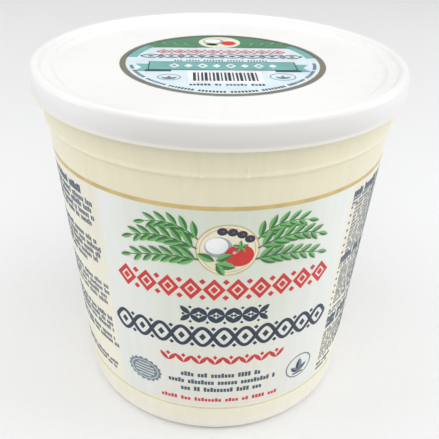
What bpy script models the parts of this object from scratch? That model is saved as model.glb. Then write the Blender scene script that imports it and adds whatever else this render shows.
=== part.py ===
"""Shut round plastic tub for fresh cheese: a filled tub, its press-on lid and the sticker on the lid.

Metres, +Z up. The origin is the centre of the base, on the surface that the tub stands on, and the
front is -Y. Every piece is a profile turned about the Z axis. A profile starts at the axis on the
upper side, runs out and down the outer side, and comes back to the axis underneath.
"""

import math

import bpy

# Driving dimensions
HEIGHT = 0.1212              # base to the top of the lid's rim
LID_RADIUS = 0.0600          # outer radius of the lid's skirt
SKIRT_HEIGHT = 0.0078        # top of the lid's rim to the skirt's lower edge
STEP_DROP = 0.0162           # top of the lid's rim to the stacking step round the tub
WALL_TOP_RADIUS = 0.0563     # tapered wall, just under the stacking step
WALL_FOOT_RADIUS = 0.0499    # the same wall carried down to the base
GAP = 0.0003                 # between pieces that touch
STEPS = 96                   # segments round the axis

# Lid
LID_WALL = 0.0011            # thickness of the moulding
SKIRT_WALL = 0.00125
RIM_ROUND = 0.0014           # radius of the rim's outer shoulder
RIM_INNER_RADIUS = 0.0571    # inner edge of the rim's flat top
LEDGE_OUTER_RADIUS = 0.0562
LEDGE_INNER_RADIUS = 0.0534
LEDGE_DROP = 0.0014          # rim down to the ledge inside it
PANEL_RADIUS = 0.0523
PANEL_DROP = 0.0025          # rim down to the flat middle panel

# Sticker
STICKER_RADIUS = 0.0332
STICKER_THICKNESS = 0.0003
STICKER_CENTRE = (0.0009, -0.0015)

# Tub
NECK_RADIUS = 0.0584         # where the neck goes up into the lid
STEP_RADIUS = 0.0573         # neck, just above the stacking step
STEP_ROUND = 0.0009
BASE_ROUND = 0.0032          # corner between the wall and the foot
FOOT_WIDTH = 0.0026          # flat ring that the tub stands on
RECESS_SLOPE = 0.0014        # run of the slope from the foot ring up to the recessed middle
RECESS_HEIGHT = 0.0015

SKIRT_BOTTOM = HEIGHT - SKIRT_HEIGHT
STEP_HEIGHT = HEIGHT - STEP_DROP
PANEL_TOP = HEIGHT - PANEL_DROP
LEDGE_TOP = HEIGHT - LEDGE_DROP


def arc(centre, radius, start_degrees, end_degrees, count):
    """Points (r, z) on a round corner, both ends included."""
    points = []
    for i in range(count + 1):
        angle = math.radians(start_degrees + (end_degrees - start_degrees) * i / count)
        points.append((centre[0] + radius * math.cos(angle), centre[1] + radius * math.sin(angle)))
    return points


def wall_radius(height):
    """Radius of the tapered wall at a height above the base."""
    return WALL_FOOT_RADIUS + (WALL_TOP_RADIUS - WALL_FOOT_RADIUS) * height / STEP_HEIGHT


def lid_top():
    """Upper side of the lid, from the middle of the panel out to the rim's shoulder."""
    shoulder = (LID_RADIUS - RIM_ROUND, HEIGHT - RIM_ROUND)
    return [
        (0.0, PANEL_TOP),
        (PANEL_RADIUS, PANEL_TOP),
        (LEDGE_INNER_RADIUS, LEDGE_TOP),
        (LEDGE_OUTER_RADIUS, LEDGE_TOP),
        (RIM_INNER_RADIUS, HEIGHT),
    ] + arc(shoulder, RIM_ROUND, 90, 0, 4)


def underside(drop, outer_radius):
    """Points under the lid's top, a given drop below it, from the outside in to the axis."""
    rim_inner = RIM_INNER_RADIUS + 0.5 * drop
    return [
        (outer_radius, HEIGHT - drop),
        (rim_inner, HEIGHT - drop),
        (LEDGE_OUTER_RADIUS + 0.5 * drop, LEDGE_TOP - drop),
        (LEDGE_INNER_RADIUS, LEDGE_TOP - drop),
        (PANEL_RADIUS, PANEL_TOP - drop),
        (0.0, PANEL_TOP - drop),
    ]


def lid_profile():
    """Lid as one closed section: top, skirt, skirt's inner side and underside."""
    inner = LID_RADIUS - SKIRT_WALL
    skirt = [(LID_RADIUS, SKIRT_BOTTOM), (inner, SKIRT_BOTTOM)]
    return lid_top() + skirt + underside(LID_WALL, inner)


def tub_profile():
    """Filled tub: hidden top under the lid, neck, stacking step, tapered wall, foot and base."""
    top = list(reversed(underside(LID_WALL + GAP, NECK_RADIUS)))
    step = arc((STEP_RADIUS - STEP_ROUND, STEP_HEIGHT), STEP_ROUND, 0, -80, 3)
    wall_top = STEP_HEIGHT - STEP_ROUND
    corner = (wall_radius(BASE_ROUND) - BASE_ROUND, BASE_ROUND)
    foot_inner = corner[0] - FOOT_WIDTH
    return (
        top
        + [(NECK_RADIUS, SKIRT_BOTTOM)]
        + step
        + [(wall_radius(wall_top), wall_top)]
        + arc(corner, BASE_ROUND, 0, -90, 5)
        + [(foot_inner, 0.0), (foot_inner - RECESS_SLOPE, RECESS_HEIGHT), (0.0, RECESS_HEIGHT)]
    )


def sticker_profile():
    """Flat round sticker, lying on the lid's panel."""
    bottom = PANEL_TOP + GAP
    top = bottom + STICKER_THICKNESS
    return [(0.0, top), (STICKER_RADIUS, top), (STICKER_RADIUS, bottom), (0.0, bottom)]


def material(name, colour, roughness):
    """Plain Principled material of one colour."""
    made = bpy.data.materials.new(name)
    made.use_nodes = True
    shader = made.node_tree.nodes["Principled BSDF"]
    shader.inputs["Base Color"].default_value = (*colour, 1.0)
    shader.inputs["Roughness"].default_value = roughness
    shader.inputs["Metallic"].default_value = 0.0
    made.diffuse_color = (*colour, 1.0)
    return made


def turned(name, profile, finish, collection, centre=(0.0, 0.0)):
    """Object made by turning a profile of (radius, height) points about the Z axis."""
    mesh = bpy.data.meshes.new(name)
    vertices = [(radius, 0.0, height) for radius, height in profile]
    edges = [(i, i + 1) for i in range(len(vertices) - 1)]
    mesh.from_pydata(vertices, edges, [])
    mesh.materials.append(finish)
    piece = bpy.data.objects.new(name, mesh)
    piece.location = (centre[0], centre[1], 0.0)
    collection.objects.link(piece)
    screw = piece.modifiers.new("Turn", "SCREW")
    screw.axis = "Z"
    screw.angle = math.tau
    screw.steps = STEPS
    screw.render_steps = STEPS
    screw.use_merge_vertices = True
    screw.merge_threshold = 0.00005
    screw.use_smooth_shade = True
    return piece


def main():
    for old in list(bpy.data.objects):
        bpy.data.objects.remove(old)

    parts = bpy.data.collections.new("cheese_tub")
    bpy.context.scene.collection.children.link(parts)

    milky = material("tub_plastic", (0.83, 0.79, 0.66), 0.40)
    white = material("lid_plastic", (0.86, 0.86, 0.84), 0.35)
    film = material("sticker_film", (0.62, 0.72, 0.75), 0.45)

    turned("tub", tub_profile(), milky, parts)
    turned("lid", lid_profile(), white, parts)
    turned("lid_sticker", sticker_profile(), film, parts, STICKER_CENTRE)


main()
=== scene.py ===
# %% [markdown]
# # A shut tub of fresh cheese
#
# The real object is a round plastic tub that is filled, closed with a press-on lid and labelled with a
# round sticker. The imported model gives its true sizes. This script gives it its looks: smooth turned
# bodies, printed ink as thin solid shapes, and plastics and inks made from shader nodes.
#
# The model is loaded first and every place is measured on it, so nothing has to be fitted afterwards.

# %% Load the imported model
import math
import random

import bmesh
import bpy
from mathutils import Matrix, Vector


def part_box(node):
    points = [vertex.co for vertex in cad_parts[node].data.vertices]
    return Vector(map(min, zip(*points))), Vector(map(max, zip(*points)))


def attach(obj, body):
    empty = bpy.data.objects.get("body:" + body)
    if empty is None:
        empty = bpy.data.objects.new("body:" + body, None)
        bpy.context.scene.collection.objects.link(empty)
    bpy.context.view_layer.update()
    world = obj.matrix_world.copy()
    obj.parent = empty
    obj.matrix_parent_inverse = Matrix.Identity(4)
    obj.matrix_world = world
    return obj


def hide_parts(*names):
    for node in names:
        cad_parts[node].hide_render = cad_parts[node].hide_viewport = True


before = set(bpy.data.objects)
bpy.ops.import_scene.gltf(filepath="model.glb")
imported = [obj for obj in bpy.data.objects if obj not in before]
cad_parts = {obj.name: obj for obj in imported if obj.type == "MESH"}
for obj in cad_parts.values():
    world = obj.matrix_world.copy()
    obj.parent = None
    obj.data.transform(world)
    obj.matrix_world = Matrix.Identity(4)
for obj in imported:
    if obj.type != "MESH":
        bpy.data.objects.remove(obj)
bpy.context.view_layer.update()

# %% [markdown]
# ## Sizes from the model
#
# A round part is known by its outline: the radius at each height. The radii of the tub's wall are read
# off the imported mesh, by walking along its edges at a given height. A typed-in number could drift away
# from the model, and a measured one can't.

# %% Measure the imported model
MM = 0.001
STEP_BELOW_TOP = 16.2 * MM
LOW_MARK, HIGH_MARK = 20 * MM, 95 * MM


def outline_radius(node, height):
    """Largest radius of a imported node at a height, measured along its edges."""
    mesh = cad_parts[node].data
    found = []
    for edge in mesh.edges:
        low, high = sorted((mesh.vertices[i].co for i in edge.vertices), key=lambda place: place.z)
        if low.z <= height <= high.z and high.z - low.z > 1e-7:
            point = low.lerp(high, (height - low.z) / (high.z - low.z))
            found.append(math.hypot(point.x, point.y))
    return max(found)


lid_low, lid_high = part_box("lid")
TOP = lid_high.z
LID_RADIUS = lid_high.x
SKIRT_BOTTOM = lid_low.z
STEP_HEIGHT = TOP - STEP_BELOW_TOP
NECK_TOP_RADIUS = outline_radius("tub", SKIRT_BOTTOM + 0.2 * MM)
NECK_FOOT_RADIUS = outline_radius("tub", STEP_HEIGHT + 0.1 * MM)
LOW_RADIUS = outline_radius("tub", LOW_MARK)
WALL_SLOPE = (outline_radius("tub", HIGH_MARK) - LOW_RADIUS) / (HIGH_MARK - LOW_MARK)


def wall_radius(height):
    """Radius of the tapered wall at a height above the base."""
    return LOW_RADIUS + WALL_SLOPE * (height - LOW_MARK)


print("lid radius, mm:", round(LID_RADIUS / MM, 2), "skirt:", round((TOP - SKIRT_BOTTOM) / MM, 2))
for height in (0, STEP_HEIGHT):
    print("wall radius, mm:", round(wall_radius(height) / MM, 2), "at height", round(height / MM, 1))

# %% [markdown]
# ## Working as by hand
#
# Blender's operators act on whatever is selected, and loading the model leaves its parts selected. So
# each step deselects everything first. In edit mode the points and faces to work on are picked by
# where they are, the way the eye would find them.

# %% Helpers for selecting and editing


def select_only(piece):
    bpy.ops.object.select_all(action="DESELECT")
    piece.select_set(True)
    bpy.context.view_layer.objects.active = piece


def start_editing(piece, mode="VERT"):
    select_only(piece)
    bpy.ops.object.mode_set(mode="EDIT")
    bpy.ops.mesh.select_mode(type=mode)
    bpy.ops.mesh.select_all(action="SELECT")


def stop_editing():
    bpy.ops.object.mode_set(mode="OBJECT")


def pick(piece, kind, wanted):
    """In edit mode, select only the points or faces that pass a test. Returns how many there are."""
    bpy.ops.mesh.select_mode(type=kind)
    bpy.ops.mesh.select_all(action="DESELECT")
    shape = bmesh.from_edit_mesh(piece.data)
    picked = [part for part in (shape.verts if kind == "VERT" else shape.faces) if wanted(part)]
    for part in picked:
        part.select_set(True)
    shape.select_flush_mode()
    bmesh.update_edit_mesh(piece.data)
    return len(picked)


def new_piece(name):
    """Name the object that an operator has just added, and settle its place into its mesh."""
    piece = bpy.context.object
    piece.name = name
    piece.data.name = name
    select_only(piece)
    bpy.ops.object.transform_apply(location=True, rotation=True, scale=True)
    return piece


def copy_of(piece):
    """A copy with its own mesh, left selected and active."""
    select_only(piece)
    bpy.ops.object.duplicate()


def apply_modifiers(piece):
    select_only(piece)
    for modifier in list(piece.modifiers):
        bpy.ops.object.modifier_apply(modifier=modifier.name)


def join(pieces, name):
    """One object from several. A single piece only gets the name."""
    select_only(pieces[0])
    for piece in pieces[1:]:
        piece.select_set(True)
    if len(pieces) > 1:
        bpy.ops.object.join()
    return new_piece(name)


def shade_round(piece, sharp_degrees=35):
    select_only(piece)
    bpy.ops.object.shade_smooth_by_angle(angle=math.radians(sharp_degrees))


print("helpers for editing are ready")

# %% [markdown]
# ## Turned bodies
#
# The tub and the lid are mouldings of revolution, so each is drawn as half a cross-section and spun
# about the upright axis. The section is drawn like a pen line: one point is extruded from corner to
# corner. Its corners are then rounded by a vertex bevel, because a mould never has a knife-sharp edge,
# and those small rounds are what catch the light. A lathe made from stacked cylinders would leave
# seams, and the spin leaves none.

# %% Draw a section and spin it
TURN_STEPS = 256
ROUND_SEGMENTS = 6
SAME_PLACE = 1e-6


def draw_section(name, corners):
    """An open line through corners of (radius, height, rounding), drawn in the XZ plane."""
    radius, height, _ = corners[0]
    bpy.ops.object.select_all(action="DESELECT")
    bpy.ops.mesh.primitive_plane_add(size=MM, location=(radius, 0, height))
    piece = new_piece(name)
    start_editing(piece)
    bpy.ops.mesh.merge(type="CENTER")
    for here, there in zip(corners, corners[1:]):
        step = (there[0] - here[0], 0.0, there[1] - here[1])
        bpy.ops.mesh.extrude_region_move(TRANSFORM_OT_translate={"value": step})
    for radius, height, rounding in corners:
        if rounding > 0:
            corner = Vector((radius, 0.0, height))
            pick(piece, "VERT", lambda point: (point.co - corner).length < 10 * SAME_PLACE)
            bpy.ops.mesh.bevel(
                offset=rounding, segments=ROUND_SEGMENTS, affect="VERTICES", clamp_overlap=False
            )
    stop_editing()
    return piece


def turned(name, corners, steps=TURN_STEPS):
    """Draw a section, spin it about the Z axis, close seam and poles, and turn its faces outwards."""
    piece = draw_section(name, corners)
    start_editing(piece)
    bpy.ops.mesh.spin(
        steps=steps, angle=math.tau, center=(0, 0, 0), axis=(0, 0, 1), use_auto_merge=True
    )
    bpy.ops.mesh.select_all(action="SELECT")
    bpy.ops.mesh.remove_doubles(threshold=SAME_PLACE)
    bpy.ops.mesh.normals_make_consistent(inside=False)
    stop_editing()
    shade_round(piece)
    print(name, len(piece.data.polygons), "faces")
    return piece


# %% [markdown]
# ## The tub
#
# From the top: a neck band that goes up into the lid, a low bead above a small stacking step, the
# tapered wall and a rounded foot round a recessed base. The bead catches the light by its shape, and the
# tub's colour adds a painted highlight along it. The pack is shut, so the body is solid and its top
# simply follows the lid's underside. The recess underneath has a low turned ring and, at its middle, the
# small stub where the plastic once entered the mould.

# %% Tub body
LID_WALL = 1.1 * MM
CLEARANCE = 0.2 * MM
UNDER = LID_WALL + CLEARANCE
RIM_INNER = LID_RADIUS - 2.9 * MM
LEDGE_OUTER = LID_RADIUS - 3.8 * MM
LEDGE_INNER = LID_RADIUS - 6.6 * MM
PANEL_RADIUS = LID_RADIUS - 7.7 * MM
LEDGE_TOP = TOP - 1.4 * MM
PANEL_TOP = TOP - 2.5 * MM
WALL_TOP = STEP_HEIGHT - 1.0 * MM
FOOT_RADIUS = wall_radius(0)
RECESS = 1.5 * MM
BASE_RING = 30.5 * MM


def under_panel(depth):
    """The corners of the lid's panel and ledge, from the axis outwards, at a depth below them."""
    panel_line = ((0.0, PANEL_TOP), (PANEL_RADIUS, PANEL_TOP))
    ledge_line = ((LEDGE_INNER, LEDGE_TOP), (LEDGE_OUTER, LEDGE_TOP))
    return [(radius, height - depth, 0) for radius, height in panel_line + ledge_line]


tub = turned(
    "cheese_tub",
    [
        *under_panel(UNDER),
        (RIM_INNER + 0.5 * UNDER, TOP - UNDER, 0.4 * MM),
        (NECK_TOP_RADIUS, TOP - UNDER, 0.6 * MM),
        (NECK_TOP_RADIUS, SKIRT_BOTTOM, 2.0 * MM),
        (NECK_FOOT_RADIUS - 0.25 * MM, STEP_HEIGHT + 2.0 * MM, 1.2 * MM),
        (NECK_FOOT_RADIUS + 0.05 * MM, STEP_HEIGHT + 0.2 * MM, 0.5 * MM),
        (wall_radius(WALL_TOP), WALL_TOP, 0.35 * MM),
        (FOOT_RADIUS, 0.0, 3.0 * MM),
        (FOOT_RADIUS - 5.4 * MM, 0.0, 0.5 * MM),
        (FOOT_RADIUS - 6.8 * MM, RECESS, 0.8 * MM),
        (BASE_RING + 1.0 * MM, RECESS, 0.2 * MM),
        (BASE_RING + 0.7 * MM, RECESS - 0.4 * MM, 0.15 * MM),
        (BASE_RING - 0.7 * MM, RECESS - 0.4 * MM, 0.15 * MM),
        (BASE_RING - 1.0 * MM, RECESS, 0.2 * MM),
        (2.0 * MM, RECESS, 0.2 * MM),
        (1.4 * MM, RECESS - 0.7 * MM, 0.3 * MM),
        (0.0, RECESS - 0.7 * MM, 0),
    ],
)

# %% [markdown]
# Two short ribs stand upright on the front of the neck and run down into the step, where each ends in a
# small bright drop. Mould makers add such ribs so that nested tubs don't stick together. A rib is a
# stretched ball, so it fades into the wall at both ends, and a Boolean union makes it one body with the
# tub. A bar would leave hard shelves at its ends.

# %% Ribs on the neck
RIB_ANGLES = (-4.3, 7.8)
RIB_SINK, RIB_PROUD = 0.3 * MM, 0.12 * MM
RIB_SIZE = (0.55 * MM, RIB_PROUD + RIB_SINK, 3.2 * MM)
RIB_ABOVE_STEP = 2.9 * MM
DROP_SINK = 0.2 * MM
DROP_SIZE = (0.75 * MM, 0.6 * MM, 0.5 * MM)
DROP_ABOVE_STEP = 0.4 * MM


def stretched_ball(name, degrees, sink, height, size):
    """A ball of half sizes (across, outwards, up), sunk in the neck at an angle and above the step."""
    angle = math.radians(degrees)
    radius = NECK_FOOT_RADIUS - sink
    bpy.ops.object.select_all(action="DESELECT")
    bpy.ops.mesh.primitive_uv_sphere_add(segments=16, ring_count=12, radius=1.0)
    ball = bpy.context.object
    ball.scale = size
    ball.rotation_euler.z = angle
    ball.location = (radius * math.sin(angle), -radius * math.cos(angle), STEP_HEIGHT + height)
    return new_piece(name)


ribs = []
for degrees in RIB_ANGLES:
    ribs.append(stretched_ball("neck_rib", degrees, RIB_SINK, RIB_ABOVE_STEP, RIB_SIZE))
    ribs.append(stretched_ball("step_drop", degrees, DROP_SINK, DROP_ABOVE_STEP, DROP_SIZE))
for rib in ribs:
    union = tub.modifiers.new("rib", "BOOLEAN")
    union.operation = "UNION"
    union.object = rib
apply_modifiers(tub)
for rib in ribs:
    bpy.data.objects.remove(rib)
shade_round(tub)
print("ribs joined to the neck:", len(ribs))

# %% [markdown]
# ## The lid
#
# The lid is one thin moulding: skirt, rounded rim, a ledge inside the rim and a flat sunken panel. Its
# section is closed, so it has a real thickness, and the lower edge of the skirt is a slightly thicker
# bead. It shows as a pale line against the tub, by its shape and by a painted reflection in the lid's
# colour.

# %% Lid
SKIRT_FACE = LID_RADIUS - 0.15 * MM
SKIRT_INNER = NECK_TOP_RADIUS + CLEARANCE

lid = turned(
    "press_on_lid",
    [
        (0.0, PANEL_TOP, 0),
        (PANEL_RADIUS, PANEL_TOP, 0.5 * MM),
        (LEDGE_INNER, LEDGE_TOP, 0.4 * MM),
        (LEDGE_OUTER, LEDGE_TOP, 0.35 * MM),
        (RIM_INNER, TOP, 0.6 * MM),
        (SKIRT_FACE - 0.1 * MM, TOP, 1.5 * MM),
        (SKIRT_FACE, SKIRT_BOTTOM + 1.7 * MM, 0.6 * MM),
        (LID_RADIUS, SKIRT_BOTTOM + 0.5 * MM, 0.3 * MM),
        (LID_RADIUS, SKIRT_BOTTOM, 0.35 * MM),
        (SKIRT_INNER, SKIRT_BOTTOM, 0.2 * MM),
        (SKIRT_INNER, TOP - LID_WALL, 0.5 * MM),
        (RIM_INNER + 0.5 * LID_WALL, TOP - LID_WALL, 0.3 * MM),
        *reversed(under_panel(LID_WALL)),
    ],
)

# %% [markdown]
# ## The sticker's film
#
# A round sticker lies on the sunken panel, a little off its middle, as a hand or a machine leaves it.
# Its film is a thin closed disc, spun like the rest and then moved in edit mode, so that its object
# stays at the origin.

# %% Sticker film
sticker_low, sticker_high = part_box("lid_sticker")
STICKER_MIDDLE = (sticker_low + sticker_high) / 2
STICKER_RADIUS = (sticker_high.x - sticker_low.x) / 2
FILM_TOP = PANEL_TOP + 0.12 * MM
FILM_BOTTOM = PANEL_TOP + 0.01 * MM
film_corners = [
    (0.0, FILM_TOP, 0),
    (STICKER_RADIUS, FILM_TOP, 0.04 * MM),
    (STICKER_RADIUS, FILM_BOTTOM, 0),
    (0.0, FILM_BOTTOM, 0),
]
sticker = turned("lid_sticker_film", film_corners, steps=192)
start_editing(sticker)
bpy.ops.transform.translate(value=(STICKER_MIDDLE.x, STICKER_MIDDLE.y, 0))
stop_editing()
print("sticker radius, mm:", round(STICKER_RADIUS / MM, 2))

# %% [markdown]
# ## Printed bands
#
# A gold band runs round the wall above the print and a thinner, paler one below it. Each is a closed
# ring with a low oblong section that follows the wall's taper: its inner side is sunk in the wall, and
# only a few hundredths of a millimetre stand proud, like a thick ink.

# %% Gold bands
INK_SINK = 0.02 * MM
INK_PROUD = 0.04 * MM
BAND_SINK = 0.1 * MM
GOLD_HEIGHT, GOLD_WIDTH = 95.0 * MM, 1.35 * MM
PALE_HEIGHT, PALE_WIDTH = 12.3 * MM, 0.75 * MM


def printed_band(name, height, width):
    """A thin ring of ink round the wall, centred at a height."""
    low = height - width / 2
    high = height + width / 2
    corners = [
        (wall_radius(low) - BAND_SINK, low, 0),
        (wall_radius(high) - BAND_SINK, high, 0),
        (wall_radius(high) + INK_PROUD, high, 0),
        (wall_radius(low) + INK_PROUD, low, 0),
    ]
    return turned(name, corners + corners[:1])


gold_band = printed_band("upper_gold_band", GOLD_HEIGHT, GOLD_WIDTH)
pale_band = printed_band("lower_gold_band", PALE_HEIGHT, PALE_WIDTH)

# %% [markdown]
# ## Printed shapes
#
# Print could be painted inside a material, but a reader of the mesh would never find it, and its edges
# would blur. Here each ink is a thin solid of its own. The artwork is drawn flat first, in
# millimetres: x runs to the right, y is the height on the pack. Each motif is a primitive that is
# sized, turned and filed under the name of its ink. Shapes in one ink that cross each other lie on
# different levels, a hair apart, so that no two faces share a place.

# %% Flat motifs
LAYER = 0.012
artwork = {}


def file_motif(ink, x, y, width, height, turn=0.0, level=0):
    """Size, turn and place the motif that was just added, and file it under its ink."""
    motif = bpy.context.object
    motif.scale = (width, height, 1.0)
    motif.rotation_euler.z = math.radians(turn)
    motif.location = (x, y, level * LAYER)
    artwork.setdefault(ink, []).append(new_piece(ink))
    return artwork[ink][-1]


def bar(ink, x, y, width, height, level=0, turn=0.0):
    bpy.ops.mesh.primitive_plane_add(size=1.0)
    return file_motif(ink, x, y, width, height, turn, level)


def disc(ink, x, y, width, height, level=0, sides=36, turn=0.0):
    """A round or oval spot. With four sides it is a lozenge."""
    bpy.ops.mesh.primitive_circle_add(vertices=sides, radius=0.5, fill_type="NGON")
    return file_motif(ink, x, y, width, height, turn, level)


def lozenge(ink, x, y, width, height, level=0):
    return disc(ink, x, y, width, height, level, 4)


def outline(ink, x, y, width, height, line, level=0, sides=48):
    """A spot with its middle cut away, which leaves a line of even width."""
    motif = disc(ink, x, y, width, height, level, sides)
    start_editing(motif, "FACE")
    bpy.ops.mesh.inset(thickness=line)
    bpy.ops.mesh.delete(type="FACE")
    stop_editing()


def row_places(count, pitch, middle=0.0):
    """Places an even pitch apart, about a middle."""
    return [middle + (number - (count - 1) / 2) * pitch for number in range(count)]


print("three places 10 mm apart:", row_places(3, 10))

# %% [markdown]
# A brush line, such as a stem or a braid's strand, is a long flat grid whose points are moved on to a
# path. The path is any rule that turns a share from 0 to 1 into a place, and the line's width may
# shrink towards its end.

# %% Brush lines
NEARBY = 0.001


def stroke(ink, path, width, pieces=40, level=0, thin_end=1.0):
    """A line of even pieces along a path, with its end as thin as asked."""
    bpy.ops.mesh.primitive_grid_add(x_subdivisions=pieces, y_subdivisions=1, size=1.0)
    line = file_motif(ink, 0, 0, 1, 1, level=level)
    for point in line.data.vertices:
        share = point.co.x + 0.5
        here = Vector(path(share))
        ahead = Vector(path(share + NEARBY)) - Vector(path(share - NEARBY))
        across = Vector((-ahead.y, ahead.x)).normalized()
        reach = point.co.y * width * (1 - share + share * thin_end)
        point.co.x = here.x + reach * across.x
        point.co.y = here.y + reach * across.y


def curve_through(start, pull, end):
    """A smooth bend from start to end, drawn towards a third point."""

    def path(share):
        rest = 1 - share
        return tuple(
            rest * rest * a + 2 * rest * share * b + share * share * c
            for a, b, c in zip(start, pull, end)
        )

    return path


print("a test bend passes", curve_through((0, 0), (10, 10), (20, 0))(0.5))

# %% [markdown]
# A leaf is lens-shaped. Half a lens is what is left of a disc when a straight cut takes most of it
# away, so one disc is bisected, and the half is kept as a pattern one unit long with its foot at the
# origin. Every leaf is two copies of it: a light half above the middle rib and a dark half below. A
# petal is a leaf in one ink.

# %% Leaf pattern
HALF_LEAF_BULGE = 0.17
ARC_RADIUS = (0.25 + HALF_LEAF_BULGE**2) / (2 * HALF_LEAF_BULGE)


def cut_away_below(piece, height):
    """Cut a flat piece along a level line and keep what is above it."""
    start_editing(piece)
    bpy.ops.mesh.bisect(plane_co=(0, height, 0), plane_no=(0, 1, 0), clear_inner=True)
    stop_editing()


bpy.ops.object.select_all(action="DESELECT")
bpy.ops.mesh.primitive_circle_add(
    vertices=72, radius=ARC_RADIUS, fill_type="NGON", location=(0.5, HALF_LEAF_BULGE - ARC_RADIUS, 0)
)
half_leaf = new_piece("half_leaf_pattern")
cut_away_below(half_leaf, 0)


def leaf(x, y, length, turn, level=0, inks=("leaf_green", "deep_green"), fat=1.0):
    """Two half leaves with their foot at a place, the upper one in the first ink."""
    for ink, side in zip(inks, (1, -1)):
        copy_of(half_leaf)
        file_motif(ink, x, y, length, side * length * fat, turn, level)


def petal(ink, x, y, length, turn, level, fat):
    """A leaf in one ink, with its halves on two levels."""
    for side in (-1, 1):
        copy_of(half_leaf)
        file_motif(ink, x, y, length, side * length * fat, turn, level + (side + 1) // 2)


print("half leaf:", len(half_leaf.data.vertices), "points")

# %% [markdown]
# ## The garland
#
# The head of the front print is a garland in green, cream and red: a round plate with a ball of
# cheese, a tomato and a row of olives, and leafy sprays that sweep out to both sides. A spray is one
# curved stem with leaves set in pairs along it, which get smaller towards its tip. The sprays on one
# side are worked out, and the other side uses the same numbers with x turned round.

# %% Sprays
PAIR_ANGLE = 34
FIRST_PAIR = 0.06
TIP_SHRINK = 0.3
STEM_WIDTH = 0.5


def spray(start, pull, end, pairs, length, level):
    """A stem with pairs of leaves and one at its tip."""
    path = curve_through(start, pull, end)
    stroke("deep_green", path, STEM_WIDTH, 24, level, thin_end=0.4)
    for pair in range(pairs + 1):
        share = FIRST_PAIR + (1 - FIRST_PAIR) * pair / pairs
        ahead = Vector(path(share + 0.01)) - Vector(path(share - 0.01))
        heading = math.degrees(math.atan2(ahead.y, ahead.x))
        size = length * (1 - TIP_SHRINK * share)
        if pair == pairs:
            leaf(*path(share), size, heading, level + 3)
            break
        leaf(*path(share), size, heading + PAIR_ANGLE, level + 1 + pair % 2)
        leaf(*path(share), size, heading - PAIR_ANGLE, level + 3 + pair % 2)


GARLAND_HEIGHT = 81.0
SPRAYS = (
    ((8.0, 3.4), (14.0, 10.5), (23.0, 7.4), 5, 5.8),
    ((8.5, 0.4), (18.0, 6.0), (27.5, 1.4), 6, 6.0),
    ((8.0, -3.4), (17.0, -1.6), (28.5, -5.8), 6, 5.7),
)
for side in (-1, 1):
    for number, (start, pull, end, pairs, length) in enumerate(SPRAYS):
        ends = [(side * x, GARLAND_HEIGHT + y) for x, y in (start, pull, end)]
        spray(*ends, pairs, length, 6 * number)
print("leaf halves so far:", sum(len(pieces) for pieces in artwork.values()))

# %% Plate, ball and tomato
PLATE = 17.4
OLIVES = ((-1.6, 6.6), (1.2, 6.3), (3.8, 5.5), (6.0, 3.9))
PLATE_LEAVES = (
    (-3.4, -4.6, 6.048, -14),
    (-3.6, -3.8, 5.376, 152),
    (-3.0, -4.8, 4.704, -62),
    (-3.2, -3.6, 4.928, 28),
)
disc("cream_ink", 0, GARLAND_HEIGHT, PLATE, PLATE, 0, 56)
for size, line in ((PLATE + 0.5, 0.38), (PLATE - 1.7, 0.22)):
    outline("gold_ink", 0, GARLAND_HEIGHT, size, size, line, 1, 56)
disc("shade_ink", -2.6, GARLAND_HEIGHT + 1.2, 7.6, 7.2, 2)
disc("white_ink", -3.0, GARLAND_HEIGHT + 1.7, 6.2, 5.7, 4)
disc("red_ink", 3.3, GARLAND_HEIGHT - 1.8, 8.3, 7.7, 6)
disc("rose_ink", 2.0, GARLAND_HEIGHT - 0.6, 1.5, 1.0, 9, 24, turn=35)
for point in range(5):
    leaf(3.5, GARLAND_HEIGHT + 1.3, 2.3, 18 + 72 * point, 11, fat=1.2)
for x, y in OLIVES:
    disc("navy_ink", x, GARLAND_HEIGHT + y, 2.9, 2.6, 2, 24)
    disc("red_ink", x + 0.2, GARLAND_HEIGHT + y + 0.1, 0.6, 0.5, 8, 12)
for x, y, length, heading in PLATE_LEAVES:
    leaf(x, GARLAND_HEIGHT + y, length, heading, 9, fat=1.4)
print("garland inks:", sorted(artwork))

# %% [markdown]
# ## Bands of ornament
#
# Below the garland the print steps down in bands: bold red, navy, large navy, red, fine lines. Each is
# filled with a common ornament of about that weight: open lozenges, four-petal flowers, a two-strand
# braid and a chain of leaf pairs. A loop sets each along its band.

# %% Red lozenges


def lozenge_row(ink, x, y, count, pitch, width, height, line, level=0):
    """A row of open lozenges with a solid one inside each and small ones between them."""
    for number, place in enumerate(row_places(count, pitch, x)):
        outline(ink, place, y, width, height, line, level, 4)
        lozenge(ink, place, y, width * 0.34, height * 0.34, level)
        if number:
            for side in (-1, 1):
                between = (place - pitch / 2, y + side * height * 0.36)
                lozenge(ink, *between, width * 0.3, height * 0.26, level)


lozenge_row("red_ink", 0, 66.4, 10, 6.9, 6.8, 8.4, 1.2)
print("red shapes:", len(artwork["red_ink"]))

# %% Navy flowers


def flower(ink, x, y, width, height, level=0):
    """Four petals round a small middle, on a slant, with a dot between each pair."""
    for quarter in range(4):
        petal(ink, x, y, math.hypot(width, height) / 2, 45 + 90 * quarter, level, 1.25)
        across = math.radians(90 * quarter)
        dot = (x + width * 0.42 * math.cos(across), y + height * 0.42 * math.sin(across))
        lozenge(ink, *dot, 1.2, 1.2, level)


for place in row_places(5, 5.35):
    flower("navy_ink", place, 56.1, 5.2, 7.1)
print("navy shapes:", len(artwork["navy_ink"]))

# %% [markdown]
# The braid is two wavy lines that cross again and again. Each strand follows a sine, the second one
# upside down, and the second lies a little higher so that it passes over. A lozenge sits in each eye.

# %% Navy braid


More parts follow.
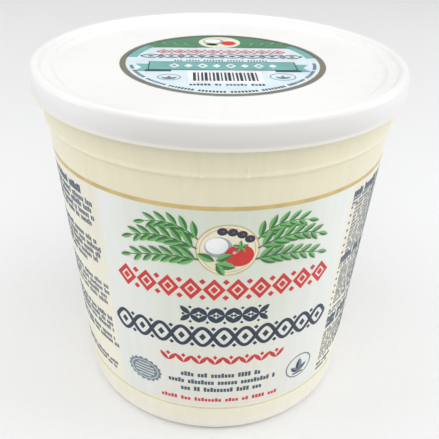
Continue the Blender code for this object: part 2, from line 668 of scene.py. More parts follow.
def braid(ink, x, y, length, height, eyes, width, level=0):
    """Two strands that cross, with a lozenge in each eye and small ones above and below a crossing."""
    swing = (height - width) / 2
    eye = length / eyes
    for strand, side in enumerate((-1, 1)):

        def path(share):
            return (x + length * (share - 0.5), y + side * swing * math.sin(math.pi * eyes * share))

        stroke(ink, path, width, 14 * eyes, level + 2 * strand)
    for place in row_places(eyes, eye, x):
        lozenge(ink, place, y, eye * 0.34, height * 0.36, level)
    for place in row_places(eyes - 1, eye, x):
        for side in (-1, 1):
            lozenge(ink, place, y + side * height * 0.40, eye * 0.24, height * 0.2, level)


braid("navy_ink", 0.0, 46.8, 75.0, 8.9, 11, 1.34)
print("navy shapes:", len(artwork["navy_ink"]))

# %% Red leaf chain


def leaf_chain(ink, y, count, pitch, length):
    """Pairs of leaves that open upwards from one foot, in a row, with a lozenge in each pair."""
    foot = y - length * 0.45
    for place in row_places(count, pitch):
        for turn in (52, 128):
            petal(ink, place, foot, length, turn, 0, 0.96)
        lozenge(ink, place, foot + length * 0.72, 1.5, 2.0)


leaf_chain("red_ink", 36.4, 8, 5.3, 4.6)
print("red shapes:", len(artwork["red_ink"]))

# %% [markdown]
# ## Fine print
#
# Small print reads as rows of tiny dark marks. Each mark is one block: a plane, repeated into a row and
# then into rows by two Array modifiers. A seeded choice then opens gaps between words, leaves line ends
# ragged and lifts some blocks' tops, which gives the uneven look of print without any lettering.

# %% Blocks of small print
TALL_SHARE = 0.3
TALL_LIFT = 0.3
RAGGED_BY = (0, 3)
LAST_LINE_SHARE = (0.35, 0.75)
FIRST_WORD = (2, 8)
LATER_WORDS = (2, 9)


def small_print(ink, left, top, width, rows, seed, mark, gap, pitch=2.5, centred=False):
    """Rows of small marks from a left edge and top. Ragged ends are kept off a centred line."""
    chance = random.Random(seed)
    step = mark[0] + gap
    columns = max(3, round(width / step))
    first = (left + mark[0] / 2, top - mark[1] / 2)
    block = bar(ink, *first, *mark)
    for count, offset in ((columns, (step, 0, 0)), (rows, (0, -pitch, 0))):
        array = block.modifiers.new("repeat", "ARRAY")
        array.count = count
        array.use_relative_offset = False
        array.use_constant_offset = True
        array.constant_offset_displace = offset
    apply_modifiers(block)

    empty = set()
    for row in range(rows):
        short = rows > 4 and row == rows - 1
        if short:
            end = round(columns * chance.uniform(*LAST_LINE_SHARE))
        else:
            end = columns - chance.randint(*RAGGED_BY)
        column = chance.randint(*FIRST_WORD)
        while column < columns:
            empty.add((row, column))
            column += 1 + chance.randint(*LATER_WORDS)
        if not centred:
            empty.update((row, column) for column in range(end, columns))

    def cell(face):
        middle = face.calc_center_median()
        return (round((first[1] - middle.y) / pitch), round((middle.x - first[0]) / step))

    start_editing(block, "FACE")
    if pick(block, "FACE", lambda face: cell(face) in empty):
        bpy.ops.mesh.delete(type="FACE")
    faces = bmesh.from_edit_mesh(block.data).faces
    tall = {cell(face) for face in faces if chance.random() < TALL_SHARE}

    def is_tall_top(point):
        face = point.link_faces[0]
        return cell(face) in tall and point.co.y > face.calc_center_median().y

    if pick(block, "VERT", is_tall_top):
        bpy.ops.transform.translate(value=(0, mark[1] * TALL_LIFT, 0))
    stop_editing()


FINE_LINES = ((28.8, 28.6), (25.3, 37.8), (21.7, 29.0))
FINE_MARK, FINE_GAP = (0.92, 1.6), 0.24
RED_MARK, RED_GAP = (0.95, 1.35), 0.28
for seed, (middle, width) in enumerate(FINE_LINES, 20):
    top = middle + FINE_MARK[1] / 2
    small_print("text_ink", -width / 2, top, width, 1, seed, FINE_MARK, FINE_GAP, centred=True)
small_print("red_ink", -22.0, 17.2, 44.0, 1, 31, RED_MARK, RED_GAP, centred=True)
print("fine lines:", len(FINE_LINES) + 1)

# %% [markdown]
# A seal and a round mark stand to the left and right of the fine lines. The seal has a scalloped edge
# of small discs round a large one, crossed by pale bars. The round mark is a thin ring round a sprout.

# %% Seal and round mark
SEAL_X, SEAL_Y = -28.3, 25.9
SCALLOPS = 18
MARK_X, MARK_Y = 29.6, 25.2


def sprout(x, y, lean, lengths, levels, inks):
    """Three leaves from one foot: one upright and one leaning out to each side."""
    for turn, length, level in zip((90, lean, 180 - lean), lengths, levels):
        leaf(x, y, length, turn, level, inks, 1.2)


disc("slate_ink", SEAL_X, SEAL_Y, 12.2, 9.8, 0, 40)
for number in range(SCALLOPS):
    angle = math.tau * number / SCALLOPS
    edge = (SEAL_X + 6.0 * math.cos(angle), SEAL_Y + 4.8 * math.sin(angle))
    disc("slate_ink", *edge, 1.5, 1.5, 1 + number % 2, 12)
outline("pale_ink", SEAL_X, SEAL_Y, 11.0, 8.6, 0.3, 5, 40)
for number, width in enumerate((4.8, 7.5, 8.2, 7.5, 4.8)):
    bar("pale_ink", SEAL_X, SEAL_Y + (2 - number) * 1.35, width, 0.5, 5)

outline("slate_ink", MARK_X, MARK_Y, 11.6, 11.2, 0.55, 0, 48)
sprout(MARK_X, MARK_Y - 3.0, 40, (6.4, 4.6, 4.6), (2, 1, 3), ("navy_ink", "slate_ink"))
bar("navy_ink", MARK_X, MARK_Y - 3.6, 4.6, 0.6, 4)
print("slate shapes:", len(artwork["slate_ink"]))

# %% [markdown]
# ## From flat artwork to ink on the wall
#
# A flat shape has to become a closed solid and follow a round, tapered wall. First all shapes of one
# ink are joined. Wide ones are cut into narrow upright strips by bisecting, so that they can bend, and
# Solidify gives them a wall. Then each point is moved by the rule for rolling a label round a can:
# x becomes an angle, y a height, and z the distance from the wall. A Bend modifier would need the
# taper added by hand, and the rule already knows it. One copy goes on the front and one on the back.

# %% Roll the print round the wall
INK_THICKNESS = 0.05
STRIP = 2.0
PRINT_RADIUS = 53.5
PRINT_TURN = math.radians(3.5)
SIDES = (("front", PRINT_TURN), ("back", PRINT_TURN + math.pi))
prints = []


def join_ink(ink, name):
    """All shapes of one ink as one flat mesh that faces up."""
    sheet = join(artwork[ink], name)
    start_editing(sheet, "FACE")
    if pick(sheet, "FACE", lambda face: face.normal.z < 0):
        bpy.ops.mesh.flip_normals()
    stop_editing()
    return sheet


def cut_in_strips(sheet):
    """Cut a flat sheet along upright lines, an even distance apart."""
    places = [point.co.x for point in sheet.data.vertices]
    start_editing(sheet)
    for number in range(math.ceil(min(places) / STRIP), math.ceil(max(places) / STRIP)):
        bpy.ops.mesh.select_all(action="SELECT")
        bpy.ops.mesh.bisect(plane_co=(number * STRIP, 0, 0), plane_no=(1, 0, 0))
    stop_editing()


def thicken(sheet):
    wall = sheet.modifiers.new("ink", "SOLIDIFY")
    wall.thickness = INK_THICKNESS
    wall.offset = 1.0
    wall.use_even_offset = False
    apply_modifiers(sheet)


def lay_on_wall(sheet, ink, label):
    """Thicken a flat print in millimetres and roll a copy on each side of the wall, in metres."""
    thicken(sheet)
    for side, turn in SIDES:
        copy_of(sheet)
        copy = new_piece(f"{side}_{label}")
        for point in copy.data.vertices:
            angle = turn + point.co.x / PRINT_RADIUS
            height = point.co.y * MM
            radius = wall_radius(height) + point.co.z * MM - INK_SINK
            point.co = (radius * math.sin(angle), -radius * math.cos(angle), height)
        prints.append((copy, ink, "tub_plastic"))
    bpy.data.objects.remove(sheet)


for ink in sorted(artwork):
    sheet = join_ink(ink, ink)
    cut_in_strips(sheet)
    lay_on_wall(sheet, ink, ink)
artwork.clear()
print("printed pieces:", len(prints))

# %% [markdown]
# ## Columns of small print
#
# Between the front and back prints the wall carries columns of small print, in paragraphs of several
# lines with bolder headings. A paragraph is given by its left edge, top, width, number of lines and
# style: the size of a mark, the gap after it and the distance between lines. The marks are narrow
# enough to lie flat on the wall, so they skip the strips. Round bullets stand before some lines.

# %% Side columns
REGULAR = ((0.62, 1.60), 0.24, 2.5)
PALE = ((0.58, 1.45), 0.28, 2.5)
FINE = ((0.45, 0.90), 0.28, 1.45)
BOLD = ((0.90, 2.20), 0.13, 2.6)
CLOSE = ((0.75, 1.20), 0.20, 2.2)
COLUMNS = (
    (41.1, 91.4, 37.0, 1, BOLD),
    (41.2, 88.9, 37.0, 2, FINE),
    (43.4, 86.2, 35.0, 13, FINE),
    (41.5, 66.9, 37.0, 1, BOLD),
    (41.3, 64.6, 37.0, 2, FINE),
    (43.2, 61.4, 35.0, 11, FINE),
    (41.4, 44.3, 37.0, 2, FINE),
    (41.5, 40.4, 37.0, 2, BOLD),
    (41.4, 34.2, 37.0, 10, FINE),
    (41.0, 18.5, 12.0, 2, CLOSE),
    (-79.0, 91.0, 35.2, 1, BOLD),
    (-79.0, 87.7, 38.3, 4, REGULAR),
    (-79.0, 73.7, 38.3, 5, REGULAR),
    (-79.0, 57.0, 38.3, 4, PALE),
    (-78.0, 42.7, 38.3, 3, REGULAR),
    (-78.1, 33.7, 38.3, 2, REGULAR),
    (-77.0, 20.6, 37.5, 2, CLOSE),
)
BULLET_X, BULLET_PITCH = 41.5, 2.8
BULLET_RUNS = ((85.7, 7), (60.8, 6))
for seed, (left, top, width, rows, style) in enumerate(COLUMNS, 100):
    small_print("text_ink", left, top, width, rows, seed, *style)
for first, count in BULLET_RUNS:
    for number in range(count):
        disc("text_ink", BULLET_X, first - BULLET_PITCH * number, 1.0, 1.0, 0, 10)
lay_on_wall(join_ink("text_ink", "text_ink"), "text_ink", "small_print")
artwork.clear()
print("one side's columns:", len(prints[-1][0].data.polygons), "faces")

# %% [markdown]
# ## The sticker's print
#
# The sticker repeats the pack's colours on a round: a brown rim line, a green head with a cream
# medallion, teal side strokes, a red and a navy band, a teal ribbon, and a white box with stripes
# above a line of small print. The same motif helpers draw it flat about its own middle.

# %% Sticker head
ARTWORK_RADIUS = 32.85
HEAD_LOW = 15.8
HEAD_RADIUS = 31.0


def rim_stroke(ink, radius, first, last, width, level):
    """A curved line that follows the sticker's rim between two angles, in degrees from the right."""

    def path(share):
        angle = math.radians(first + (last - first) * share)
        return (radius * math.cos(angle), radius * math.sin(angle))

    stroke(ink, path, width, 48, level)


outline("rim_ink", 0, 0, 65.5, 65.5, 1.9, 0, 128)
cut_away_below(disc("forest_ink", 0, 0, 2 * HEAD_RADIUS, 2 * HEAD_RADIUS, 1, 128), HEAD_LOW)
for first, last in ((8, 36), (144, 172)):
    rim_stroke("teal_ink", 29.3, first, last, 2.9, 3)
rim_stroke("fold_ink", 31.1, 8, 172, 0.35, 5)
disc("cream_ink", 0, 22.6, 14.6, 14.4, 3, 48)
disc("shade_ink", -2.0, 23.6, 7.4, 7.2, 5)
disc("white_ink", -2.4, 24.1, 5.6, 5.2, 7)
disc("red_ink", 3.1, 21.4, 5.2, 5.0, 9, 28)
for x, y, heading in ((-5.2, 20.0, -16), (-0.6, 19.2, 158)):
    leaf(x, y, 4.6, heading, 9, fat=1.4)
for side in (-1, 1):
    bar("fold_ink", side * 16.5, HEAD_LOW, 17.5, 0.3, 5)
    for number, x in enumerate((10.5, 14.2, 17.9, 21.4)):
        leaf(side * x, 18.8 + 0.4 * number, 3.6, 90 - side * 32, 4, fat=1.2)
print("sticker inks:", sorted(artwork))

# %% [markdown]
# The ribbon is a flat bar with a swallow-tail behind each end and a dark fold where the tail turns
# back. A tail is a small plane whose outer edge is pushed inwards at its middle.

# %% Sticker bands and ribbon
RIBBON_X, RIBBON_Y = -0.3, -5.2
RIBBON_LENGTH, RIBBON_HEIGHT = 46.4, 8.2
TAIL_WIDTH, TAIL_HEIGHT, TAIL_NOTCH = 6.0, 7.4, 2.2
TAIL_Y = RIBBON_Y - 1.8

lozenge_row("red_ink", 0, 10.7, 8, 5.5, 5.0, 4.6, 0.46, 3)
braid("navy_ink", 0, 5.4, 53.0, 4.4, 8, 0.46, 3)
small_print("navy_ink", -15.5, 1.0, 31.0, 1, 61, (0.5, 1.05), 0.44, centred=True)
bar("teal_ink", RIBBON_X, RIBBON_Y, RIBBON_LENGTH, RIBBON_HEIGHT, 5)
for side in (-1, 1):
    bpy.ops.mesh.primitive_grid_add(x_subdivisions=1, y_subdivisions=2, size=1.0)
    tail_x = side * 24.2 + RIBBON_X
    tail = file_motif("teal_ink", tail_x, TAIL_Y, TAIL_WIDTH, TAIL_HEIGHT, level=3)
    notch = Vector((tail_x + side * TAIL_WIDTH / 2, TAIL_Y))
    start_editing(tail)
    pick(tail, "VERT", lambda point: (point.co.xy - notch).length < 0.1)
    bpy.ops.transform.translate(value=(-side * TAIL_NOTCH, 0, 0))
    stop_editing()
    bar("fold_ink", side * 20.0 + RIBBON_X, RIBBON_Y - 4.9, 8.0, 1.6, 4)
    bar("fold_ink", side * 23.0 + RIBBON_X, RIBBON_Y - 0.4, 0.35, 8.6, 8)
    bar("fold_ink", RIBBON_X, RIBBON_Y + side * RIBBON_HEIGHT / 2, RIBBON_LENGTH, 0.25, 8)
for number, x in enumerate(row_places(8, 4.4)):
    if number % 2:
        lozenge("white_ink", x, RIBBON_Y, 2.6, 3.4, 8)
    else:
        outline("white_ink", x, RIBBON_Y, 3.4, 4.6, 0.6, 8, 4)
print("teal shapes:", len(artwork["teal_ink"]))

# %% Stripes, ovals and rim print
STRIPE_WIDTHS = (0.86, 0.44, 0.62)
RIM_MARKS = 84
BOLD_RIM_MARKS = range(26, 62)
RIM_MARK_RADIUS = 29.2

bar("white_ink", 0, -16.0, 22.4, 10.4, 1)
for number, x in enumerate(row_places(17, 1.16)):
    bar("navy_ink", x, -15.8, STRIPE_WIDTHS[number % 3], 7.8, 4)
small_print("navy_ink", -10.8, -22.6, 21.6, 1, 71, (0.75, 1.15), 0.3, centred=True)
for x, y, width, height in ((-16.8, -16.4, 7.0, 5.6), (17.2, -15.6, 8.0, 6.6)):
    outline("slate_ink", x, y, width, height, 0.32, 1, 40)
    sprout(x, y - 1.8, 38, (2.9, 2.9, 2.9), (3, 3, 3), ("slate_ink", "slate_ink"))
for number in range(RIM_MARKS):
    if number % 9 != 4:
        turn = 190 + 166 * number / (RIM_MARKS - 1)
        place = Matrix.Rotation(math.radians(turn), 2) @ Vector((RIM_MARK_RADIUS, 0))
        size = (0.66, 1.3) if number in BOLD_RIM_MARKS else (0.6, 1.05)
        bar("navy_ink", *place, *size, 1, turn + 90)
print("navy shapes on the sticker:", len(artwork["navy_ink"]))

# %% Lay the print on the sticker
STICKER_TURN = math.radians(3.2)
to_sticker = (
    Matrix.Translation((STICKER_MIDDLE.x, STICKER_MIDDLE.y, FILM_TOP - INK_SINK))
    @ Matrix.Rotation(STICKER_TURN, 4, "Z")
    @ Matrix.Scale(STICKER_RADIUS / ARTWORK_RADIUS, 4)
)
for ink in sorted(artwork):
    sheet = join_ink(ink, f"sticker_{ink}")
    thicken(sheet)
    sheet.data.transform(to_sticker)
    prints.append((sheet, ink, "sticker_film"))
bpy.data.objects.remove(half_leaf)
print("printed pieces in all:", len(prints))

# %% [markdown]
# ## Materials
#
# Every finish is worked out from the place on the object, so it needs no picture and looks the same
# from all sides. Effects that several finishes share are node groups. A few short helpers keep the
# node work readable: they add a node, feed its inputs, do sums and open an empty group. Noise seldom
# leaves the middle of its range, so a mask is stretched from there to the full range.

# %% Node helpers
FLOAT, VECTOR, COLOUR = "NodeSocketFloat", "NodeSocketVector", "NodeSocketColor"
NOISE_RANGE = (0.3, 0.7)


def add_node(tree, kind, **settings):
    made = tree.nodes.new("ShaderNode" + kind)
    for name, value in settings.items():
        setattr(made, name, value)
    return made


def feed(tree, socket, value):
    """Give a socket a number or colour, or the output of another node."""
    if isinstance(value, bpy.types.NodeSocket):
        tree.links.new(value, socket)
    else:
        socket.default_value = value


def plug(tree, made, **values):
    """Feed inputs of a node by name. Underscores stand for spaces. Returns the node's outputs."""
    for name, value in values.items():
        feed(tree, made.inputs[name.replace("_", " ")], value)
    return made.outputs


def sums(tree, operation, *values, kind="Math", output=0):
    """A Math or VectorMath node with its inputs fed in order. Returns one output."""
    made = add_node(tree, kind, operation=operation)
    for socket, value in zip(made.inputs, values):
        feed(tree, socket, value)
    return made.outputs[output]


def ramp(tree, value, low, high, to_low=0.0, to_high=1.0, smooth=True):
    """Turn a range of values into another range, with soft ends."""
    made = add_node(tree, "MapRange", interpolation_type="SMOOTHSTEP" if smooth else "LINEAR")
    plug(tree, made, Value=value, From_Min=low, From_Max=high, To_Min=to_low, To_Max=to_high)
    return made.outputs["Result"]


def mix_colours(tree, share, first, second, blend="MIX"):
    """Blend two colours. A Mix node keeps its colour sockets at 6 and 7, and its result at 2."""
    made = add_node(tree, "Mix", data_type="RGBA", blend_type=blend)
    plug(tree, made, Factor=share)
    feed(tree, made.inputs[6], first)
    feed(tree, made.inputs[7], second)
    return made.outputs[2]


def noise(tree, place, scale, detail=2.0):
    return plug(tree, add_node(tree, "TexNoise"), Vector=place, Scale=scale, Detail=detail)["Fac"]


def object_place(tree):
    return add_node(tree, "TexCoord").outputs["Object"]


def new_group(name, inputs, outputs):
    """An empty shader group. inputs: (label, socket type, value). outputs: (label, socket type)."""
    tree = bpy.data.node_groups.new(name, "ShaderNodeTree")
    for label, kind, value in inputs:
        tree.interface.new_socket(label, in_out="INPUT", socket_type=kind).default_value = value
    for label, kind in outputs:
        tree.interface.new_socket(label, in_out="OUTPUT", socket_type=kind)
    return tree, tree.nodes.new("NodeGroupInput").outputs, tree.nodes.new("NodeGroupOutput")


def use_group(tree, group, **values):
    """Place a group in a material, with its own values. Returns its outputs."""
    return plug(tree, add_node(tree, "Group", node_tree=group), **values)


print("node helpers are ready")

# %% [markdown]
# The pack is round, so most effects depend on the way round it, the height and the distance from the
# axis. One group works these out from Object coordinates: the angle in degrees from the front, the
# height and the radius in millimetres, and the direction from the axis, which has no seam.

# %% Group: place on the pack
pack_place, _, place_out = new_group(
    "place_on_the_pack",
    (),
    (("Angle", FLOAT), ("Height", FLOAT), ("Radius", FLOAT), ("Direction", VECTOR)),
)
coords = object_place(pack_place)
x, y, z = plug(pack_place, add_node(pack_place, "SeparateXYZ"), Vector=coords)
turn = sums(pack_place, "ARCTAN2", x, sums(pack_place, "MULTIPLY", y, -1.0))
flat = sums(pack_place, "MULTIPLY", coords, (1, 1, 0), kind="VectorMath")
length = sums(pack_place, "LENGTH", flat, kind="VectorMath", output="Value")
plug(
    pack_place,
    place_out,
    Angle=sums(pack_place, "DEGREES", turn),
    Height=sums(pack_place, "DIVIDE", z, MM),
    Radius=sums(pack_place, "DIVIDE", length, MM),
    Direction=sums(pack_place, "NORMALIZE", flat, kind="VectorMath"),
)
print("group outputs:", [socket.name for socket in place_out.inputs if socket.name])

# %% [markdown]
# Moulded plastic is never quite even. It has a fine dimpled skin, flow streaks that run away from the
# point where it entered the mould, and a slow change of tone from thicker and thinner places. The
# second group gives all three, for the tub and the lid: a tone, a roughness mask and a height.

# %% Group: moulded skin
CLOUDS_PER_METRE = 28.0
skin, skin_in, skin_out = new_group(
    "moulded_skin",
    (("Dimples", FLOAT, 900.0), ("Streaks", FLOAT, 22.0), ("Stretch", FLOAT, 0.02)),
    (("Tone", FLOAT), ("Sheen Mask", FLOAT), ("Relief", FLOAT)),
)
where = use_group(skin, pack_place)
path = sums(skin, "ADD", where["Height"], where["Radius"])
along = add_node(skin, "CombineXYZ")
plug(skin, along, Z=sums(skin, "MULTIPLY", path, skin_in["Stretch"]))
spread = sums(skin, "MULTIPLY", where["Direction"], skin_in["Streaks"], kind="VectorMath")
flow = sums(skin, "ADD", along.outputs[0], spread, kind="VectorMath")
streaks = noise(skin, flow, 1.0, 3.0)
clouds = noise(skin, object_place(skin), CLOUDS_PER_METRE, 3.0)
dimples = noise(skin, object_place(skin), skin_in["Dimples"])
tone = sums(skin, "ADD", sums(skin, "MULTIPLY", streaks, 0.5), sums(skin, "MULTIPLY", clouds, 0.5))
fine = sums(skin, "MULTIPLY", dimples, 0.4)
plug(
    skin,
    skin_out,
    Tone=ramp(skin, tone, *NOISE_RANGE),
    Sheen_Mask=ramp(skin, clouds, *NOISE_RANGE),
    Relief=sums(skin, "ADD", sums(skin, "MULTIPLY", streaks, 0.6), fine),
)
print("moulded skin:", len(skin.nodes), "nodes")

# %% [markdown]
# The third group is the mask of a printed panel on the wall: 1 inside it and 0 outside, with edges that
# fade. It takes the panel's middle angle, half its width, its lower and upper edge and how soft the
# edges are. The tub uses it for the front and the back, and once more for the whole printed height.

# %% Group: printed panel
panel, panel_in, panel_out = new_group(
    "printed_panel",
    (
        ("Middle", FLOAT, 0.0),
        ("Half Width", FLOAT, 42.0),
        ("Low", FLOAT, 12.0),
        ("High", FLOAT, 94.0),
        ("Soft Sides", FLOAT, 2.5),
        ("Soft Ends", FLOAT, 0.6),
    ),
    (("Mask", FLOAT), ("From Middle", FLOAT)),
)


def soft_step(value, edge, softness):
    """0 below an edge and 1 above it, with a fade as wide as the softness."""
    above = sums(panel, "DIVIDE", sums(panel, "SUBTRACT", value, panel_in[edge]), panel_in[softness])
    return ramp(panel, above, -1.0, 1.0)


where = use_group(panel, pack_place)
off = sums(panel, "SUBTRACT", where["Angle"], panel_in["Middle"])
off = sums(panel, "ABSOLUTE", sums(panel, "WRAP", off, 180.0, -180.0))
inside = sums(panel, "SUBTRACT", 1.0, soft_step(off, "Half Width", "Soft Sides"))
under_high = sums(panel, "SUBTRACT", 1.0, soft_step(where["Height"], "High", "Soft Ends"))
between = sums(panel, "MULTIPLY", soft_step(where["Height"], "Low", "Soft Ends"), under_high)
plug(
    panel,
    panel_out,
    Mask=sums(panel, "MULTIPLY", inside, between),
    From_Middle=sums(panel, "DIVIDE", off, panel_in["Half Width"]),
)
print("printed panel:", len(panel.nodes), "nodes")

# %% [markdown]
# The fourth group is ink. Printed ink is a shade uneven: it pools slightly and thins out in specks. It
# takes the ink's colour and gives it back with that unevenness, and a matching roughness.

# %% Group: printed ink
POOLS_PER_METRE, SPECKS_PER_METRE = 160.0, 1500.0
SPECK_RANGE = (0.62, 0.75)
INK_ROUGHNESS = (0.36, 0.46)
ink_group, ink_in, ink_out = new_group(
    "printed_ink",
    (("Ink", COLOUR, (0.5, 0.5, 0.5, 1.0)), ("Unevenness", FLOAT, 0.12)),
    (("Colour", COLOUR), ("Roughness", FLOAT)),
)
coords = object_place(ink_group)
pools = ramp(ink_group, noise(ink_group, coords, POOLS_PER_METRE, 3.0), *NOISE_RANGE, -1.0, 1.0)
specks = ramp(ink_group, noise(ink_group, coords, SPECKS_PER_METRE), *SPECK_RANGE)
change = sums(ink_group, "MULTIPLY", sums(ink_group, "ADD", pools, specks), ink_in["Unevenness"])
brightness = sums(ink_group, "ADD", 1.0, change)
plug(
    ink_group,
    ink_out,
    Colour=sums(ink_group, "MULTIPLY", ink_in["Ink"], brightness, kind="VectorMath"),
    Roughness=ramp(ink_group, pools, -1.0, 1.0, *INK_ROUGHNESS),
)
print("groups:", [group.name for group in bpy.data.node_groups])

# %% [markdown]
# ### The tub's plastic
#
# The tub is thin, milky plastic over white cheese. It is creamier at the top and paler towards the
# foot. Just under the lid the neck is darker, as painted shade from the lid's skirt. The bead above the
# step has a painted highlight, and the foot is whitest. From foot to gold band the wall turns slightly
# cooler, as if a thin white ink lay under the print. The printed panels put a cool, bluish white over
# that, greener at their top, and whiter towards their sides as painted light from the side lamps. The
# gloss is even but not perfect, so the roughness wanders a little with the mask. Each zone below is a
# pair of heights in millimetres: the change starts at the first and is complete at the second.

# %% Tub material


def new_material(name):
    made = bpy.data.materials.new(name)
    made.use_nodes = True
    return made, made.node_tree, made.node_tree.nodes["Principled BSDF"]


def paint(piece, material):
    piece.data.materials.clear()
    piece.data.materials.append(material)


def add_relief(tree, shader, height, depth):
    """Turn a height into small bumps, of a depth in metres."""
    bump = plug(tree, add_node(tree, "Bump"), Strength=1.0, Distance=depth, Height=height)
    plug(tree, shader, Normal=bump["Normal"])


CREAM_HIGH = (0.795, 0.750, 0.545, 1.0)
CREAM_LOW = (0.905, 0.865, 0.705, 1.0)
CREAM_FOOT = (0.920, 0.880, 0.765, 1.0)
# painted shade: the neck darker just under the lid's skirt
NECK_PAINTED_SHADE = (0.755, 0.710, 0.515, 1.0)
# painted highlight along the bead above the step
BEAD_PAINTED_HIGHLIGHT = (0.830, 0.790, 0.595, 1.0)
PANEL_HIGH = (0.675, 0.725, 0.615, 1.0)
PANEL_LOW = (0.825, 0.810, 0.735, 1.0)
# painted light: the panels whiter towards their sides, where the side lamps fall
PANEL_PAINTED_SIDE_LIGHT = (0.805, 0.825, 0.785, 1.0)
COOLER = (1.0, 1.015, 1.13, 1.0)
BEAD_MM = STEP_HEIGHT / MM
WALL_ZONE = (5.0, 112.0)
NECK_SHADE_ZONE = (107.0, 112.5)
FOOT_ZONE = (8.0, 4.5)
BEAD_HIGHLIGHT_RISE = (BEAD_MM - 0.3, BEAD_MM + 0.3)
BEAD_HIGHLIGHT_FALL = (BEAD_MM + 0.9, BEAD_MM + 1.7)
COOLER_ZONE = (15.0, 85.0)
PANEL_ZONE = (12.0, 94.0)
SIDE_LIGHT_FADE = (0.2, 1.0)
PRINTED_HEIGHT = {"Low": 13.3, "High": 94.5}
PANEL_HALF_WIDTH, ALL_ROUND = 42.5, 200.0
TUB_TONE, TUB_ROUGHNESS, TUB_RELIEF = (0.965, 1.02), (0.29, 0.35), 0.06 * MM

tub_plastic, tree, shader = new_material("milky_tub_plastic")
height = use_group(tree, pack_place)["Height"]
surface = use_group(tree, skin, Dimples=700.0, Streaks=26.0, Stretch=0.03)
cream = CREAM_LOW
# the neck zone lays painted shade just under the lid
for zone, tint in ((WALL_ZONE, CREAM_HIGH), (NECK_SHADE_ZONE, NECK_PAINTED_SHADE), (FOOT_ZONE, CREAM_FOOT)):
    cream = mix_colours(tree, ramp(tree, height, *zone), cream, tint)
# painted highlight: a lighter cream band along the bead
bead_highlight = sums(tree, "SUBTRACT", ramp(tree, height, *BEAD_HIGHLIGHT_RISE), ramp(tree, height, *BEAD_HIGHLIGHT_FALL))
cream = mix_colours(tree, bead_highlight, cream, BEAD_PAINTED_HIGHLIGHT)
printed = use_group(tree, panel, Half_Width=ALL_ROUND, **PRINTED_HEIGHT)["Mask"]
printed = sums(tree, "MULTIPLY", printed, ramp(tree, height, *COOLER_ZONE, smooth=False))
colour = mix_colours(tree, printed, cream, mix_colours(tree, 1.0, cream, COOLER, "MULTIPLY"))
cool = mix_colours(tree, ramp(tree, height, *PANEL_ZONE), PANEL_LOW, PANEL_HIGH)
for middle in (math.degrees(PRINT_TURN), math.degrees(PRINT_TURN) - 180.0):
    field = use_group(tree, panel, Middle=middle, Half_Width=PANEL_HALF_WIDTH, **PRINTED_HEIGHT)
    # painted side light towards each panel's sides
    panel_with_side_light = mix_colours(tree, ramp(tree, field["From Middle"], *SIDE_LIGHT_FADE), cool, PANEL_PAINTED_SIDE_LIGHT)
    colour = mix_colours(tree, field["Mask"], colour, panel_with_side_light)
tone = ramp(tree, surface["Tone"], 0.0, 1.0, *TUB_TONE, smooth=False)
plug(
    tree,
    shader,
    Base_Color=mix_colours(tree, 1.0, colour, tone, "MULTIPLY"),
    Roughness=ramp(tree, surface["Sheen Mask"], 0.0, 1.0, *TUB_ROUGHNESS),
)
add_relief(tree, shader, surface["Relief"], TUB_RELIEF)
paint(tub, tub_plastic)
print("tub plastic:", len(tree.nodes), "nodes, step at", round(BEAD_MM, 1), "mm")

# %% [markdown]
# ### The lid's plastic
#
# The lid is thicker and opaque white. Its flow streaks run outwards from the middle of the panel. Its
# skirt stands free round the tub. Its colour carries painted shade: it turns greyer towards its foot,
# most of all in front, and stays lighter at the sides as painted light from the side lamps. The bead at
# its foot has a painted reflection of the cream tub behind it. Lids are stacked and slid about, so the
# rim has fine rubbed rings: noise that depends on the radius and the height only changes the gloss
# there.

# %% Lid material
LID_DULL, LID_WHITE = (0.815, 0.810, 0.795, 1.0), (0.840, 0.835, 0.820, 1.0)
# painted shade on the skirt: each pair is its shaded front and its lit side
SKIRT_TOP_PAINTED_SHADE = (0.750, 0.735, 0.710, 1.0), (0.800, 0.800, 0.790, 1.0)
SKIRT_FOOT_PAINTED_SHADE = (0.655, 0.640, 0.610, 1.0), (0.750, 0.745, 0.735, 1.0)
# painted reflection of the cream tub on the skirt's bead
SKIRT_BEAD_PAINTED_REFLECTION = (0.760, 0.740, 0.660, 1.0)
SHADE_MIDDLE, SHADE_FADE = 8.0, (22.0, 50.0)
RIM_MM, TOP_MM, SKIRT_MM = LID_RADIUS / MM, TOP / MM, SKIRT_BOTTOM / MM
SKIRT_START = (RIM_MM - 1.3, RIM_MM - 0.7)
SKIRT_SHADE_FADE = (TOP_MM - 1.0, SKIRT_MM + 1.2)
SKIRT_REFLECTION_EDGE = (SKIRT_MM + 1.3, SKIRT_MM + 0.7)
RINGS_PER_MM, SCUFFS_PER_METRE = 3.0, 60.0
RING_RANGE, SCUFF_RANGE, RUBBED_DULLER = (0.55, 0.75), (0.45, 0.65), 0.12
LID_ROUGHNESS, LID_RELIEF = (0.33, 0.43), 0.05 * MM

lid_plastic, tree, shader = new_material("white_lid_plastic")
surface = use_group(tree, skin, Dimples=800.0, Streaks=14.0, Stretch=0.02)
where = use_group(tree, pack_place)
across = add_node(tree, "CombineXYZ")
for axis, measure in (("X", "Radius"), ("Y", "Height")):
    plug(tree, across, **{axis: sums(tree, "MULTIPLY", where[measure], RINGS_PER_MM)})
rings = ramp(tree, noise(tree, across.outputs[0], 1.0), *RING_RANGE)
scuffs = ramp(tree, noise(tree, object_place(tree), SCUFFS_PER_METRE), *SCUFF_RANGE)
rubbed = sums(tree, "MULTIPLY", rings, scuffs)
white = mix_colours(tree, surface["Tone"], LID_DULL, LID_WHITE)
on_skirt = ramp(tree, where["Radius"], *SKIRT_START)
# painted shade: the skirt greyer towards its foot and in front, lighter at the sides
shade_towards_foot = ramp(tree, where["Height"], *SKIRT_SHADE_FADE)
